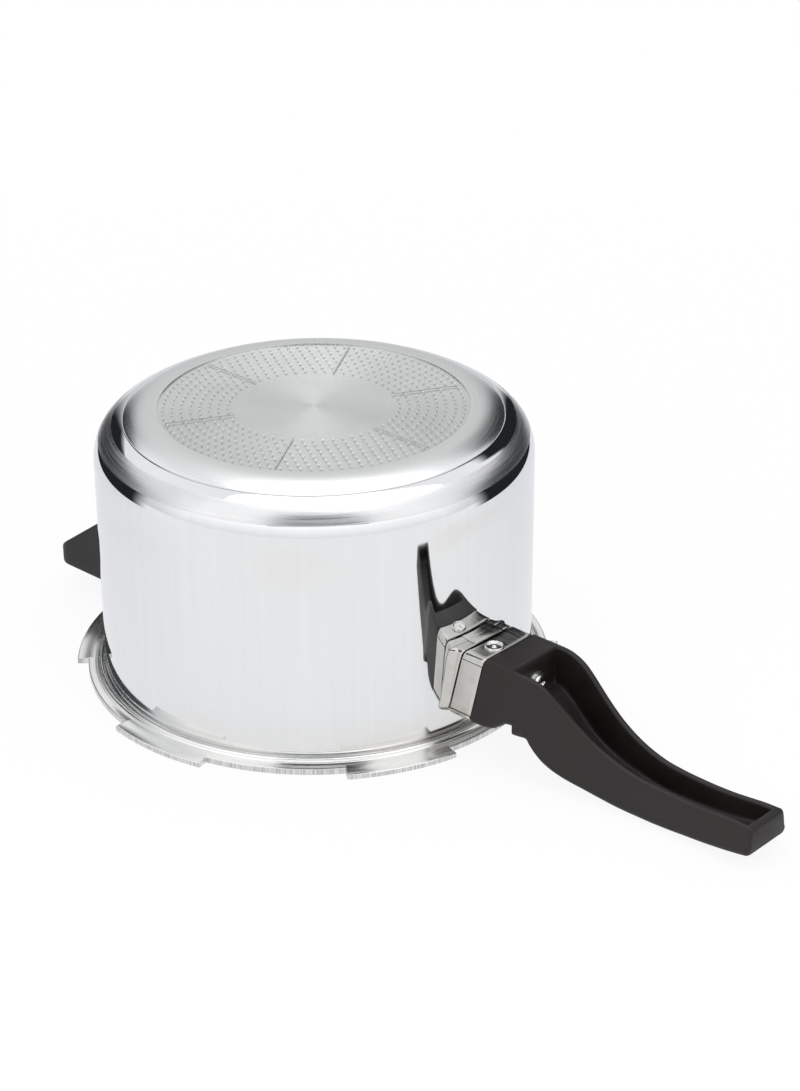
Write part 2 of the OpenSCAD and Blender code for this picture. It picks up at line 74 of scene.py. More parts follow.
# Base disc and induction plate
DISC_R = 95.6
DISC_FLAT_R = 80.0
DISC_TOP = 142.0
SEAM_Z = 137.2
PLATE_R = 78.0
PLATE_T = 0.8
PLATE_PROUD = 0.015
LINE_COUNT = 6
LINE_IN = 40.0
LINE_OUT = 76.5
LINE_W = 0.6
LINE_DEPTH = 0.14
# Dots: rings, then half sizes along and across the ring, room beside a line
DOT_RINGS = 8
DOT_FIRST_R = 42.6
DOT_RING_PITCH = 4.6
DOT_PITCH = 5.0
DOT_LONG = 0.78
DOT_SHORT = 0.6
DOT_DEPTH = 0.12
DOT_CLEAR = 1.1

# The section that bracket, ferrule and grip share: half width at z = 0,
# and how much narrower it gets for each mm of height
ROOT_W = 26.95
DRAFT = 0.1552
HANDLE_LOW = 19.0
HANDLE_HIGH = 52.5
SEAM_X_LOW = 124.4
SEAM_X_HIGH = 128.8
BRACKET_LOW_D = 3.2
BRACKET_HIGH_D = 6.6
FERRULE_GAP = 0.8
FERRULE_SCREW_XY = (123.4, -4.5)
# Heights of the fine grooves in the ferrule's sides, their half widths and depth
PANEL_LINES = (22.4, 49.2)
GROOVE_W = 0.26
GROOVE_FLOOR_W = 0.2
GROOVE_DEPTH = 0.6
# How far the bracket's sides spread where they meet the wall, and its reach
FLARE = 2.4
FLARE_REACH = 3.2
BRACKET_LOW = 19.5
BRACKET_HIGH = 52.2
CORNER_R = 2.8
TAB_Y = (-8.0, 12.0)
TAB_LOW = 51.6
TAB_TOP = 52.6
TAB_BEVEL = 0.22

# Long grip
GRIP_END = 284.0
POCKET_X = 145.5
POCKET_END = 279.4
GRIP_WALL = 3.6
SCREW_Z = 39.0

# Helper handle, measured away from the pan along -X
HELPER_R = 110.6
HELPER_END = 161.5
HELPER_W = 37.0
HELPER_LOW = 13.0
HELPER_HIGH = 52.0
HELPER_WALL = 3.4
HELPER_LAND_X = 120.5
HELPER_POCKET_X = 123.8
HELPER_POCKET_END = 158.0
HELPER_SCREW_Z = 31.0

# Cross-head screws of both grips, and the washers under them
GRIP_SCREW_R = 5.0
HELPER_SCREW_R = 4.4
SCREW_H = 3.2
RECESS = 1.3
WASHER_T = 1.0

SHARP_ANGLE = math.radians(38)
MOULDED_ANGLE = math.radians(50)
QUARTER_TURN = 0.25
WHITE = (1.0, 1.0, 1.0)
# Segments round the pan, and the radius under which a point is on its axis
ROUND_STEPS = 288
ON_AXIS = 1e-6


# ------------------------------------------------------------ node helpers


class Graph:
    """Short calls for the nodes of one material or world."""

    def __init__(self, owner):
        owner.use_nodes = True
        self.nodes = owner.node_tree.nodes
        self.links = owner.node_tree.links

    def node(self, kind, **settings):
        made = self.nodes.new(kind)
        for key, value in settings.items():
            setattr(made, key, value)
        return made

    def wire(self, source, target, key):
        self.links.new(source, target.inputs[key])

    def feed(self, value, target, key):
        """Gives a socket another node's output, a colour or a number."""
        if isinstance(value, bpy.types.NodeSocket):
            self.wire(value, target, key)
        elif isinstance(value, tuple):
            target.inputs[key].default_value = tint(value)
        else:
            target.inputs[key].default_value = value

    def math(self, operation, a, b=0.0):
        made = self.node("ShaderNodeMath", operation=operation)
        self.feed(a, made, 0)
        self.feed(b, made, 1)
        return made.outputs[0]

    def span(self, value, low, high, start=0.0, kind="LINEAR"):
        """Runs from start to 1 as value crosses from low to high."""
        made = self.node("ShaderNodeMapRange", interpolation_type=kind)
        made.inputs["From Min"].default_value = low
        made.inputs["From Max"].default_value = high
        made.inputs["To Min"].default_value = start
        self.wire(value, made, "Value")
        return made.outputs[0]

    def position(self):
        return self.node("ShaderNodeTexCoord").outputs["Object"]

    def split(self, vector):
        made = self.node("ShaderNodeSeparateXYZ")
        self.wire(vector, made, 0)
        return made.outputs

    def ramp(self, value, low, high, low_at=0.35, high_at=0.65, stops=()):
        """A colour or grey from low to high, by way of stops, as value grows."""
        made = self.node("ShaderNodeValToRGB")
        ends = made.color_ramp.elements
        ends[0].position = low_at
        ends[1].position = high_at
        ends[0].color = tint(low)
        ends[1].color = tint(high)
        for at, level in stops:
            ends.new(at).color = tint(level)
        self.wire(value, made, "Fac")
        return made.outputs["Color"]

    def blend(self, factor, a, b, mode="MIX"):
        made = self.node("ShaderNodeMix", data_type="RGBA", blend_type=mode)
        for key, value in ((0, factor), (6, a), (7, b)):
            self.feed(value, made, key)
        return made.outputs[2]

    def mix_shader(self, factor, a, b):
        made = self.node("ShaderNodeMixShader")
        for key, value in enumerate((factor, a, b)):
            self.wire(value, made, key)
        return made.outputs[0]


class Surface(Graph):
    """A Principled material whose grain is made of noise and bump."""

    def __init__(self, name, metallic, specular=0.5, anisotropic=0.0):
        self.mat = bpy.data.materials.new(name)
        super().__init__(self.mat)
        self.bsdf = self.nodes["Principled BSDF"]
        self.bsdf.inputs["Metallic"].default_value = metallic
        self.bsdf.inputs["Specular IOR Level"].default_value = specular
        self.bsdf.inputs["Anisotropic"].default_value = anisotropic

    def stretched(self, sx, sy, sz):
        """Object coordinates, scaled apart so that noise turns into grain."""
        mapping = self.node("ShaderNodeMapping")
        mapping.inputs["Scale"].default_value = (sx, sy, sz)
        self.wire(self.position(), mapping, "Vector")
        return mapping.outputs[0]

    def rings(self, across, along):
        """Coordinates in which noise turns into rings about the pan's axis."""
        x, y, z = self.split(self.position())
        squares = [self.math("MULTIPLY", axis, axis) for axis in (x, y)]
        radius = self.math("SQRT", self.math("ADD", *squares))
        join = self.node("ShaderNodeCombineXYZ")
        self.wire(self.math("MULTIPLY", radius, across), join, 0)
        self.wire(self.math("MULTIPLY", z, across), join, 1)
        turn = self.math("ARCTAN2", y, x)
        self.wire(self.math("MULTIPLY", turn, along), join, 2)
        return join.outputs[0]

    def noise(self, vector, detail=3.0, roughness=0.55):
        made = self.node("ShaderNodeTexNoise")
        made.inputs["Scale"].default_value = 1.0
        made.inputs["Detail"].default_value = detail
        made.inputs["Roughness"].default_value = roughness
        self.wire(vector, made, "Vector")
        return made.outputs["Fac"]

    def bump(self, heights, strength, distance):
        """Bump laid over any bump that is already there."""
        made = self.node("ShaderNodeBump")
        made.inputs["Strength"].default_value = strength
        made.inputs["Distance"].default_value = distance
        self.wire(heights, made, "Height")
        previous = self.bsdf.inputs["Normal"].links
        if previous:
            self.wire(previous[0].from_socket, made, "Normal")
        self.wire(made.outputs[0], self.bsdf, "Normal")

    def turned(self):
        """Stretches highlights the way a lathe's marks about Z do."""
        self.bsdf.inputs["Anisotropic Rotation"].default_value = QUARTER_TURN
        tangent = self.node("ShaderNodeTangent", direction_type="RADIAL", axis="Z")
        self.wire(tangent.outputs[0], self.bsdf, "Tangent")

    def colour(self, source):
        self.wire(source, self.bsdf, "Base Color")

    def rough(self, source):
        self.wire(source, self.bsdf, "Roughness")


def tint(value):
    """An RGBA tuple from a grey or an RGB tuple."""
    if isinstance(value, (int, float)):
        value = (value, value, value)
    return (*value, 1.0)


# ---------------------------------------------------------------- materials


def polished_aluminium():
    """The wall: buffed almost to a mirror, with faint upright draw marks."""
    s = Surface("polished_aluminium", 1.0)
    streaks = s.noise(s.stretched(210, 210, 5), 5.0, 0.6)
    patch_noise = s.noise(s.stretched(13, 13, 22), 3.0)
    share = s.math("MULTIPLY", s.split(s.position())[2], 1 / (PAN_H * MM))
    # Painted reflection: beige-grey patches under the shoulder and above the rim, which are also
    # made rougher
    begins = s.ramp(share, 0.0, 1.0, 0.66, 0.8)
    ends = s.ramp(share, 1.0, 0.0, 0.84, 0.87)
    under = s.math("MULTIPLY", begins, ends)
    over = s.ramp(share, 1.0, 0.0, 0.05, 0.2)
    band = s.math("MAXIMUM", under, over)
    patches = s.ramp(patch_noise, 0.0, 1.0, 0.47, 0.68)
    painted_reflection = s.math("MULTIPLY", s.math("MULTIPLY", band, patches), 0.5)
    clean = s.ramp(streaks, (0.775, 0.782, 0.792), (0.8, 0.806, 0.815), 0.3, 0.7)
    # The beige-grey blended in over the patches is painted reflection
    s.colour(s.blend(painted_reflection, clean, (0.73, 0.7, 0.66)))
    gloss = s.ramp(streaks, 0.03, 0.045, 0.35, 0.7)
    # Near the rim the buffing wheel left the wall less bright
    foot = s.ramp(share, 0.8, 0.0, 0.03, 0.17)
    gloss = s.blend(foot, gloss, (0.15, 0.15, 0.15))
    s.rough(s.blend(painted_reflection, gloss, (0.16, 0.16, 0.16)))
    s.bump(s.noise(s.stretched(14, 14, 8), 1.0), 0.06, 0.001)
    s.bump(streaks, 0.003, 0.0003)
    return s.mat


def pressed_inside():
    """The cooking side: a duller turned finish with rings from the lathe."""
    s = Surface("pressed_inside", 1.0, anisotropic=0.4)
    rings = s.noise(s.rings(1500, 2.0), 3.0)
    wear = s.noise(s.stretched(40, 40, 40), 4.0)
    s.colour(s.blend(s.ramp(wear, 0.0, 0.5), (0.76, 0.765, 0.775), (0.66, 0.66, 0.66)))
    s.rough(s.ramp(rings, 0.26, 0.4))
    s.bump(rings, 0.12, 0.0003)
    s.turned()
    return s.mat


def turned_rim():
    """Flange and lugs: turned, then buffed with the wall."""
    s = Surface("turned_rim", 1.0)
    rings = s.noise(s.rings(900, 1.2), 3.0)
    cloud = s.noise(s.rings(120, 5.0), 3.0)
    s.colour(s.ramp(cloud, (0.8, 0.8, 0.79), (0.87, 0.87, 0.86)))
    s.rough(s.ramp(rings, 0.17, 0.24))
    s.bump(rings, 0.01, 0.0003)
    return s.mat


def sawn_edge():
    """The flange's cut edge: short upright tool marks, left dull."""
    s = Surface("sawn_edge", 1.0)
    chops = s.noise(s.rings(30, 190.0), 2.0, 0.7)
    s.colour(s.ramp(chops, (0.5, 0.5, 0.49), (0.8, 0.8, 0.79), 0.4, 0.6))
    s.rough(s.ramp(chops, 0.3, 0.45))
    s.bump(chops, 0.3, 0.0005)
    return s.mat


def turned_disc():
    """The bonded disc: soft turned rings over a polished round edge."""
    s = Surface("turned_disc", 1.0)
    rings = s.noise(s.rings(1500, 1.2), 3.0)
    broad = s.noise(s.rings(150, 1.0), 2.0)
    # The flat face has a duller turned finish than the round edge; its darker colour, picked by
    # the upward normal, is painted shade
    upward = s.split(s.node("ShaderNodeNewGeometry").outputs["Normal"])[2]
    flat = s.ramp(upward, 0.0, 1.0, 0.86, 0.995)
    edge = s.ramp(broad, (0.78, 0.785, 0.79), (0.84, 0.845, 0.85))
    s.colour(s.blend(flat, edge, (0.62, 0.625, 0.62)))
    s.rough(s.blend(flat, s.ramp(rings, 0.17, 0.24), (0.36, 0.36, 0.36)))
    s.bump(rings, 0.06, 0.0003)
    return s.mat


def turned_plate():
    """The induction plate: fine turned satin steel."""
    s = Surface("turned_plate", 1.0, anisotropic=0.7)
    rings = s.noise(s.rings(2600, 1.0), 3.0)
    cloud = s.noise(s.stretched(26, 26, 26), 3.0)
    s.colour(s.blend(s.ramp(cloud, 0.0, 1.0), (0.6, 0.605, 0.598), (0.645, 0.65, 0.64)))
    s.rough(s.ramp(rings, 0.32, 0.42))
    s.bump(rings, 0.1, 0.0003)
    s.turned()
    return s.mat


def satin_steel():
    """Bracket and ferrule: brushed across the handle, slightly warm."""
    s = Surface("satin_steel", 1.0)
    grain = s.noise(s.stretched(40, 900, 900), 4.0)
    cloud = s.noise(s.stretched(70, 70, 70), 2.0)
    s.colour(s.blend(s.ramp(cloud, 0.0, 1.0), (0.55, 0.535, 0.505), (0.635, 0.625, 0.6)))
    s.rough(s.ramp(grain, 0.14, 0.24))
    s.bump(grain, 0.025, 0.0002)
    return s.mat


def plated_steel(name, base, low_rough, high_rough):
    """Screws, nuts and washers: plating with fine wear."""
    s = Surface(name, 1.0)
    wear = s.noise(s.stretched(700, 700, 700), 4.0)
    dark = tuple(0.72 * c for c in base)
    s.colour(s.blend(s.ramp(wear, 0.0, 1.0, 0.45, 0.7), base, dark))
    s.rough(s.ramp(wear, low_rough, high_rough))
    s.bump(wear, 0.08, 0.0001)
    return s.mat


def black_phenolic():
    """Moulded handle plastic: fine sparked grain, edges made paler by a painted highlight."""
    s = Surface("black_phenolic", 0.0, specular=0.42)
    grain = s.noise(s.stretched(2400, 2400, 2400), 2.0)
    cloud = s.noise(s.stretched(45, 45, 45), 4.0)
    body = s.ramp(cloud, (0.0092, 0.0066, 0.006), (0.014, 0.0104, 0.0096))
    # Painted highlight: sharp edges, found by pointiness, get a paler colour
    point = s.node("ShaderNodeNewGeometry").outputs["Pointiness"]
    painted_edge_highlight = s.ramp(point, 0.0, 0.65, 0.515, 0.58)
    s.colour(s.blend(painted_edge_highlight, body, (0.03, 0.028, 0.027)))
    s.rough(s.blend(s.ramp(cloud, 0.0, 1.0), (0.47, 0.47, 0.47), (0.58, 0.58, 0.58)))
    s.bump(grain, 0.22, 0.00025)
    return s.mat


MATERIALS = {
    "polished_aluminium": polished_aluminium(),
    "pressed_inside": pressed_inside(),
    "turned_rim": turned_rim(),
    "sawn_edge": sawn_edge(),
    "turned_aluminium": turned_disc(),
    "turned_steel": turned_plate(),
    "satin_steel": satin_steel(),
    "rivet_metal": plated_steel("rivet_metal", (0.78, 0.78, 0.785), 0.25, 0.4),
    "zinc_steel": plated_steel("zinc_steel", (0.62, 0.62, 0.6), 0.3, 0.45),
    "bright_steel": plated_steel("bright_steel", (0.86, 0.85, 0.83), 0.1, 0.2),
    "black_phenolic": black_phenolic(),
}


# ------------------------------------------------------------- mesh helpers


def piece(name, bm, materials, smooth=SHARP_ANGLE):
    """Turns mm geometry into a finished piece that rides on the pan."""
    bmesh.ops.remove_doubles(bm, verts=bm.verts, dist=0.0005)
    bmesh.ops.dissolve_degenerate(bm, edges=bm.edges, dist=0.0005)
    # Fault: base_cap and grip_body come out of this with their faces turned inward
    bmesh.ops.recalc_face_normals(bm, faces=bm.faces)
    bmesh.ops.scale(bm, verts=bm.verts, vec=(MM, MM, MM))
    mesh = bpy.data.meshes.new(name)
    bm.to_mesh(mesh)
    bm.free()
    for polygon in mesh.polygons:
        polygon.use_smooth = True
    mesh.set_sharp_from_angle(angle=smooth)
    for material in materials:
        mesh.materials.append(MATERIALS[material])
    made = bpy.data.objects.new(name, mesh)
    bpy.context.scene.collection.objects.link(made)
    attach(made, "root")
    return made


def arc(cx, cy, r, start, end, steps):
    """Points on an arc about (cx, cy), from angle start to end in degrees."""
    turn = (math.radians(start + (end - start) * i / steps) for i in range(steps + 1))
    return [(cx + r * math.cos(t), cy + r * math.sin(t)) for t in turn]


def line(a, b, steps):
    """Points from a up to but not including b."""
    return [tuple(p + (q - p) * i / steps for p, q in zip(a, b)) for i in range(steps)]


def ring(bm, points):
    return [bm.verts.new(p) for p in points]


def bridge(bm, a, b):
    """Quads between two closed rings with the same number of points."""
    for i in range(len(a)):
        j = (i + 1) % len(a)
        bm.faces.new((a[i], a[j], b[j], b[i]))


def spun(bm, r, z, turn):
    """A vertex at (r, z), turned about Z."""
    return bm.verts.new((r * math.cos(turn), r * math.sin(turn), z))


def lathe(bm, profile, segments=ROUND_STEPS, material=lambda r, z: 0):
    """Turns a closed (r, z) outline about Z. Points on the axis share a vertex."""
    columns = []
    for r, z in profile:
        if r < ON_AXIS:
            columns.append([bm.verts.new((0, 0, z))] * segments)
        else:
            spins = (TAU * k / segments for k in range(segments))
            columns.append([spun(bm, r, z, t) for t in spins])
    for index, (a, b) in enumerate(zip(columns, columns[1:] + columns[:1])):
        (r0, z0), (r1, z1) = profile[index], profile[(index + 1) % len(profile)]
        if r0 < ON_AXIS and r1 < ON_AXIS:
            continue
        kind = material((r0 + r1) / 2, (z0 + z1) / 2)
        for i in range(segments):
            j = (i + 1) % segments
            corners = []
            for v in (a[i], a[j], b[j], b[i]):
                if v not in corners:
                    corners.append(v)
            bm.faces.new(corners).material_index = kind


def loft(bm, rings):
    """Skins closed rings one after another and caps both ends."""
    made = [ring(bm, points) for points in rings]
    for a, b in zip(made, made[1:]):
        bridge(bm, a, b)
    for end in (made[0], made[-1]):
        bm.faces.new(end)


def smoothstep(a, b, x):
    t = min(max((x - a) / (b - a), 0.0), 1.0)
    return t * t * (3 - 2 * t)


def curve_through(points):
    """A monotone cubic through (x, y) points, as a function of x."""
    xs = [p[0] for p in points]
    ys = [p[1] for p in points]
    steps = [(ys[i + 1] - ys[i]) / (xs[i + 1] - xs[i]) for i in range(len(xs) - 1)]
    slopes = [steps[0]]
    for a, b in zip(steps, steps[1:]):
        slopes.append(0.0 if a * b <= 0 else 2 * a * b / (a + b))
    slopes.append(steps[-1])

    def at(x):
        if x <= xs[0]:
            return ys[0]
        if x >= xs[-1]:
            return ys[-1]
        i = max(k for k in range(len(xs) - 1) if xs[k] <= x)
        h = xs[i + 1] - xs[i]
        t = (x - xs[i]) / h
        a = (1 + 2 * t) * (1 - t) ** 2 * ys[i] + t * t * (3 - 2 * t) * ys[i + 1]
        return a + h * (t * (1 - t) ** 2 * slopes[i] - t * t * (1 - t) * slopes[i + 1])

    return at


# ---------------------------------------------------------------- the pan


def build_shell():
    """The pressed shell: wall and shoulder outside, cooking side inside."""
    bore = PAN_R - WALL
    inner_r = SHOULDER_R - WALL
    floor = PAN_H - BOTTOM
    out_x, in_x = PAN_R - SHOULDER_R, bore - inner_r
    profile = line((PAN_R - 0.4, 4.2), (PAN_R, 5.0), 1)
    profile += line((PAN_R, 5.0), (PAN_R, PAN_H - SHOULDER_R), 24)
    profile += arc(out_x, PAN_H - SHOULDER_R, SHOULDER_R, 0, 90, 28)
    profile += line((out_x - 3, PAN_H), (0, PAN_H), 10) + [(0, PAN_H)]
    profile += [(0, floor)] + line((3, floor), (in_x, floor), 10)
    profile += arc(in_x, floor - inner_r, inner_r, 90, 0, 22)
    profile += line((bore, floor - inner_r - 3), (bore, 0.5), 16)
    profile += arc(bore + 0.5, 0.5, 0.5, 180, 270, 4) + [(PAN_R - 0.4, 0.0)]
    bm = bmesh.new()
    lathe(bm, profile, material=lambda r, z: 1 if (r < bore + 0.4 and z < floor + 0.4) else 0)
    made = piece("pan_shell", bm, ["polished_aluminium", "pressed_inside"])
    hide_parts("pan_body")


def rim_section(outer_r, outer_top):
    """Closed (r, z) outline of the flange, its groove and its bead."""
    inside, edge = PAN_R - 1.0, 0.4
    bead_foot = COLLAR_R + 0.9
    points = [(inside, 0.02), (outer_r - 3.0, 0.02), (outer_r - edge, 0.02)]
    points += arc(outer_r - edge, 0.02 + edge, edge, -60, 0, 3)
    points += arc(outer_r - edge, outer_top - edge, edge, 0, 85, 5)
    # A lug's top steps up to the flange's top at the flange's own edge
    step_out, step_in = FLANGE_R + 0.8, FLANGE_R - 0.4
    points += [(outer_r - 1.2, outer_top + 0.02), (min(step_out, outer_r - 1.3), outer_top + 0.03)]
    points += [(min(step_in, outer_r - 1.4), BETWEEN_TOP + 0.04)]
    points += line((bead_foot + 1.6, BETWEEN_TOP + 0.06), (bead_foot, FLANGE_T), 3)
    points += arc(bead_foot, FLANGE_T + 0.55, 0.55, 270, 200, 4)
    points += arc(COLLAR_R - 0.95, COLLAR_Z - 0.95, 0.95, 0, 130, 9)
    points += [(PAN_R + 0.8, 4.9), (PAN_R + 0.35, 4.3), (inside, 4.2)]
    return points


def build_rim():
    """Flange with its lugs, and a nearly square step at each lug's ends."""
    between = rim_section(FLANGE_R, BETWEEN_TOP)
    at_lug = rim_section(LUG_R, LUG_T)
    pitch = 360 / LUG_COUNT
    # Degrees that the step at a lug's end takes up
    cut = 0.14
    gap = pitch - LUG_SPAN - 2 * cut
    lug_steps, gap_steps = 30, 38
    turns = []
    for lug in range(LUG_COUNT):
        first = LUG_START + lug * pitch - LUG_SPAN / 2
        free = first + LUG_SPAN + cut
        turns += [(first + LUG_SPAN * k / lug_steps, at_lug) for k in range(lug_steps + 1)]
        turns += [(free + gap * k / gap_steps, between) for k in range(gap_steps + 1)]
    bm = bmesh.new()
    columns = []
    for turn, section in turns:
        columns.append([spun(bm, r, z, math.radians(turn)) for r, z in section])
    for a, b in zip(columns, columns[1:] + columns[:1]):
        bridge(bm, a, b)
    # The sawn edge has a rougher finish than the top
    for face in bm.faces:
        face.normal_update()
        middle = face.calc_center_median()
        r = math.hypot(middle.x, middle.y)
        flank = abs(face.normal.z) < 0.5 and r > FLANGE_R - 0.5
        face.material_index = 1 if flank else 0
    made = piece("pan_rim", bm, ["turned_rim", "sawn_edge"])
    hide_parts("pan_body")


# --------------------------------------------------------------- the base


def build_disc():
    """The bonded disc, whose edge is one broad arc down to the seam groove."""
    rise = DISC_TOP - SEAM_Z
    width = DISC_R - DISC_FLAT_R
    bend = 2 * math.atan(rise / width)
    radius = width / math.sin(bend)
    profile = [(0, PAN_H - 0.05), (88, PAN_H - 0.05), (DISC_R - 0.9, SEAM_Z - 0.15)]
    profile += [(DISC_R - 1.4, SEAM_Z + 0.05), (DISC_R - 1.4, SEAM_Z + 0.55)]
    profile += [(DISC_R - 0.5, SEAM_Z + 0.6)]
    degrees = math.degrees(bend)
    profile += arc(DISC_FLAT_R, DISC_TOP - radius, radius, 90 - degrees * 0.975, 90, 26)
    profile += [(PLATE_R, DISC_TOP), (PLATE_R, DISC_TOP - PLATE_T), (0, DISC_TOP - PLATE_T)]
    bm = bmesh.new()
    lathe(bm, profile)
    made = piece("base_cap", bm, ["turned_aluminium"])
    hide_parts("base_disc")


def dot_loops():
    """Stamped dots in staggered rings, clear of the radial lines."""
    loops = []
    sector = TAU / LINE_COUNT
    # A dot's corners, in half sizes along and across its ring
    shape = [(1, 0), (0.7, 0.8), (0, 1), (-0.7, 0.8), (-1, 0), (-0.7, -0.8), (0, -1), (0.7, -0.8)]
    for k in range(DOT_RINGS):
        r = DOT_FIRST_R + DOT_RING_PITCH * k
        count = LINE_COUNT * round(TAU * r / DOT_PITCH / LINE_COUNT)
        for i in range(count):
            turn = TAU * (i + 0.5 * (k % 2)) / count
            off = (turn + sector / 2) % sector - sector / 2
            if abs(off) * r < DOT_LONG + DOT_CLEAR:
                continue
            out = Vector((math.cos(turn), math.sin(turn)))
            along = Vector((-math.sin(turn), math.cos(turn)))
            loops.append([out * (r + DOT_SHORT * b) + along * DOT_LONG * a for a, b in shape])
    return loops


def line_loops():
    """The radial lines, each a long thin hexagon."""
    loops = []
    half = LINE_W / 2
    shape = [(LINE_IN, 0), (LINE_IN + 1, half), (LINE_OUT - 1, half)]
    shape += [(LINE_OUT, 0), (LINE_OUT - 1, -half), (LINE_IN + 1, -half)]
    for k in range(LINE_COUNT):
        turn = TAU * k / LINE_COUNT
        out = Vector((math.cos(turn), math.sin(turn)))
        side = Vector((-math.sin(turn), math.cos(turn)))
        loops.append([out * a + side * b for a, b in shape])
    return loops


def build_plate():
    """The plate's floor, side and stamped pits.

    Known fault: the top face between the pits is missing, see below.
    """
    pits = [(loop, DOT_DEPTH) for loop in dot_loops()]
    pits += [(loop, LINE_DEPTH) for loop in line_loops()]
    rim = [Vector(p) for p in arc(0, 0, DISC_FLAT_R + 0.2, 0, 360, ROUND_STEPS)[:-1]]
    coords, loops = list(rim), []
    for loop, _depth in pits:
        loops.append(list(range(len(coords), len(coords) + len(loop))))
        coords += loop
    result = delaunay_2d_cdt(coords, [], [list(range(len(rim)))] + loops, 0, 1e-5)
    points, _edges, faces, origins, _from_edges, from_faces = result
    bm = bmesh.new()
    face_z = DISC_TOP + PLATE_PROUD
    top = [bm.verts.new((p.x, p.y, face_z)) for p in points]
    where = {}
    for index, sources in enumerate(origins):
        for source in sources:
            where[source] = top[index]
    # Fault: the pits' loops run clockwise, so every triangle is listed as part
    # of nearly every loop, none passes this test and the top is left open
    for corners, sources in zip(faces, from_faces):
        if max(sources, default=0) == 0:
            bm.faces.new([top[i] for i in corners])
    for loop, (shape, depth) in zip(loops, pits):
        middle = sum(shape, Vector((0, 0))) / len(shape)
        floor = []
        for p in shape:
            q = middle + (p - middle) * (1 - 0.25 / max((p - middle).length, 0.4))
            floor.append(bm.verts.new((q.x, q.y, face_z - depth)))
        bridge(bm, [where[i] for i in loop], floor)
        bm.faces.new(floor)
    # The rim dips into the disc where it starts to round off
    dip = (DISC_FLAT_R + 1.4, DISC_TOP - 0.06)
    under = (PLATE_R - 0.1, DISC_TOP - PLATE_T + 0.01)
    previous = [where[i] for i in range(len(rim))]
    for r, z in (dip, under):
        turned = [bm.verts.new((*(p * (r / p.length)), z)) for p in rim]
        bridge(bm, previous, turned)
        previous = turned
    bm.faces.new(previous)
    made = piece("perforated_plate", bm, ["turned_steel"], math.radians(20))
    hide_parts("induction_plate")


# ------------------------------------------------------ bracket and ferrule


def root_width(z):
    return ROOT_W - DRAFT * z


def section_loop(low, high, corner, grooves=(), steps=6, side_steps=8):
    """The shared drafted section in (y, z), with rounded corners.

    grooves are heights at which a fine line is cut into both sides.
    """
    points = []
    wl, wh = root_width(low), root_width(high)
    lean = math.degrees(math.atan(DRAFT))
    points += arc(wl - corner, low + corner, corner, -90, lean, steps)
    flat = high - low - 2 * corner
    side = [(low + corner + flat * k / side_steps, 0.0) for k in range(1, side_steps)]
    for z in grooves:
        side += [(z - GROOVE_W, 0.0), (z - GROOVE_FLOOR_W, GROOVE_DEPTH)]
        side += [(z + GROOVE_FLOOR_W, GROOVE_DEPTH), (z + GROOVE_W, 0.0)]
    points += [(root_width(z) - cut, z) for z, cut in sorted(side)]
    points += arc(wh - corner, high - corner, corner, lean, 90, steps)
    mirrored = [(-y, z) for y, z in reversed(points)]
    points += line((wh - corner, high), (-wh + corner, high), 14)[1:]
    points += mirrored
    points += line((-wl + corner, low), (wl - corner, low), 14)[1:]
    return points


def pillow(bm, loop, start_x, end_x, edge, rows=8):
    """A closed block between two surfaces x(y, z), its outer edges broken."""
    cz = sum(z for _y, z in loop) / len(loop)

    def drawn_in(y, z, share):
        return y * share, cz + (z - cz) * share

    def shrunk(amount):
        return [drawn_in(y, z, max(0.0, 1 - amount / math.hypot(y, z - cz))) for y, z in loop]

    def scaled(share):
        return [drawn_in(y, z, share) for y, z in loop]

    def placed(flat, surface, shift):
        return [(surface(y, z) + shift, y, z) for y, z in flat]

    shares = (0.02, 0.35, 0.7, 0.93)
    rings = [placed(scaled(s), start_x, 0.0) for s in shares]
    rings.append(placed(shrunk(edge), start_x, 0.0))
    rings.append(placed(shrunk(edge * 0.3), start_x, edge * 0.3))
    for k in range(rows + 1):
        share = k / rows
        between = []
        for y, z in loop:
            x = (start_x(y, z) + edge) * (1 - share) + (end_x(y, z) - edge) * share
            between.append((x, y, z))
        rings.append(between)
    rings.append(placed(shrunk(edge * 0.3), end_x, -edge * 0.3))
    rings.append(placed(shrunk(edge), end_x, 0.0))
    rings += [placed(scaled(s), end_x, 0.0) for s in reversed(shares)]
    loft(bm, rings)


def on_wall(y, _z):
    return math.sqrt(max(PAN_R**2 - y * y, 0.0)) + 0.02


def on_collar(gap):
    """x of the cone about the pan that the bracket's outer face follows."""

    def at(y, z):
        share = (z - BRACKET_LOW) / (BRACKET_HIGH - BRACKET_LOW)
        r = PAN_R + gap + BRACKET_LOW_D + (BRACKET_HIGH_D - BRACKET_LOW_D) * share
        return math.sqrt(r * r - y * y)

    return at


def on_seam(_y, z):
    """x of the leaning plane where the ferrule meets the grip."""
    share = (z - HANDLE_LOW) / (HANDLE_HIGH - HANDLE_LOW)
    return SEAM_X_LOW + (SEAM_X_HIGH - SEAM_X_LOW) * share


def bracket_front(y, z):
    """Straight across, so a crescent opens between it and the ferrule."""
    return on_collar(0.0)(root_width(z), z)


def build_bracket():
    bm = bmesh.new()
    loop = section_loop(BRACKET_LOW, BRACKET_HIGH, CORNER_R)
    pillow(bm, loop, on_wall, bracket_front, 0.45, 5)
    # The sides flare where they meet the wall
    for v in bm.verts:
        r = math.hypot(v.co.x, v.co.y)
        near = 1 - smoothstep(PAN_R, PAN_R + FLARE_REACH, r)
        outer = smoothstep(0.5, 1.0, abs(v.co.y) / root_width(v.co.z))
        v.co.y += math.copysign(FLARE * near * outer, v.co.y)
        v.co.x = math.sqrt(r * r - v.co.y**2)
    made = piece("bracket_collar", bm, ["satin_steel"])
    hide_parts("handle_bracket")


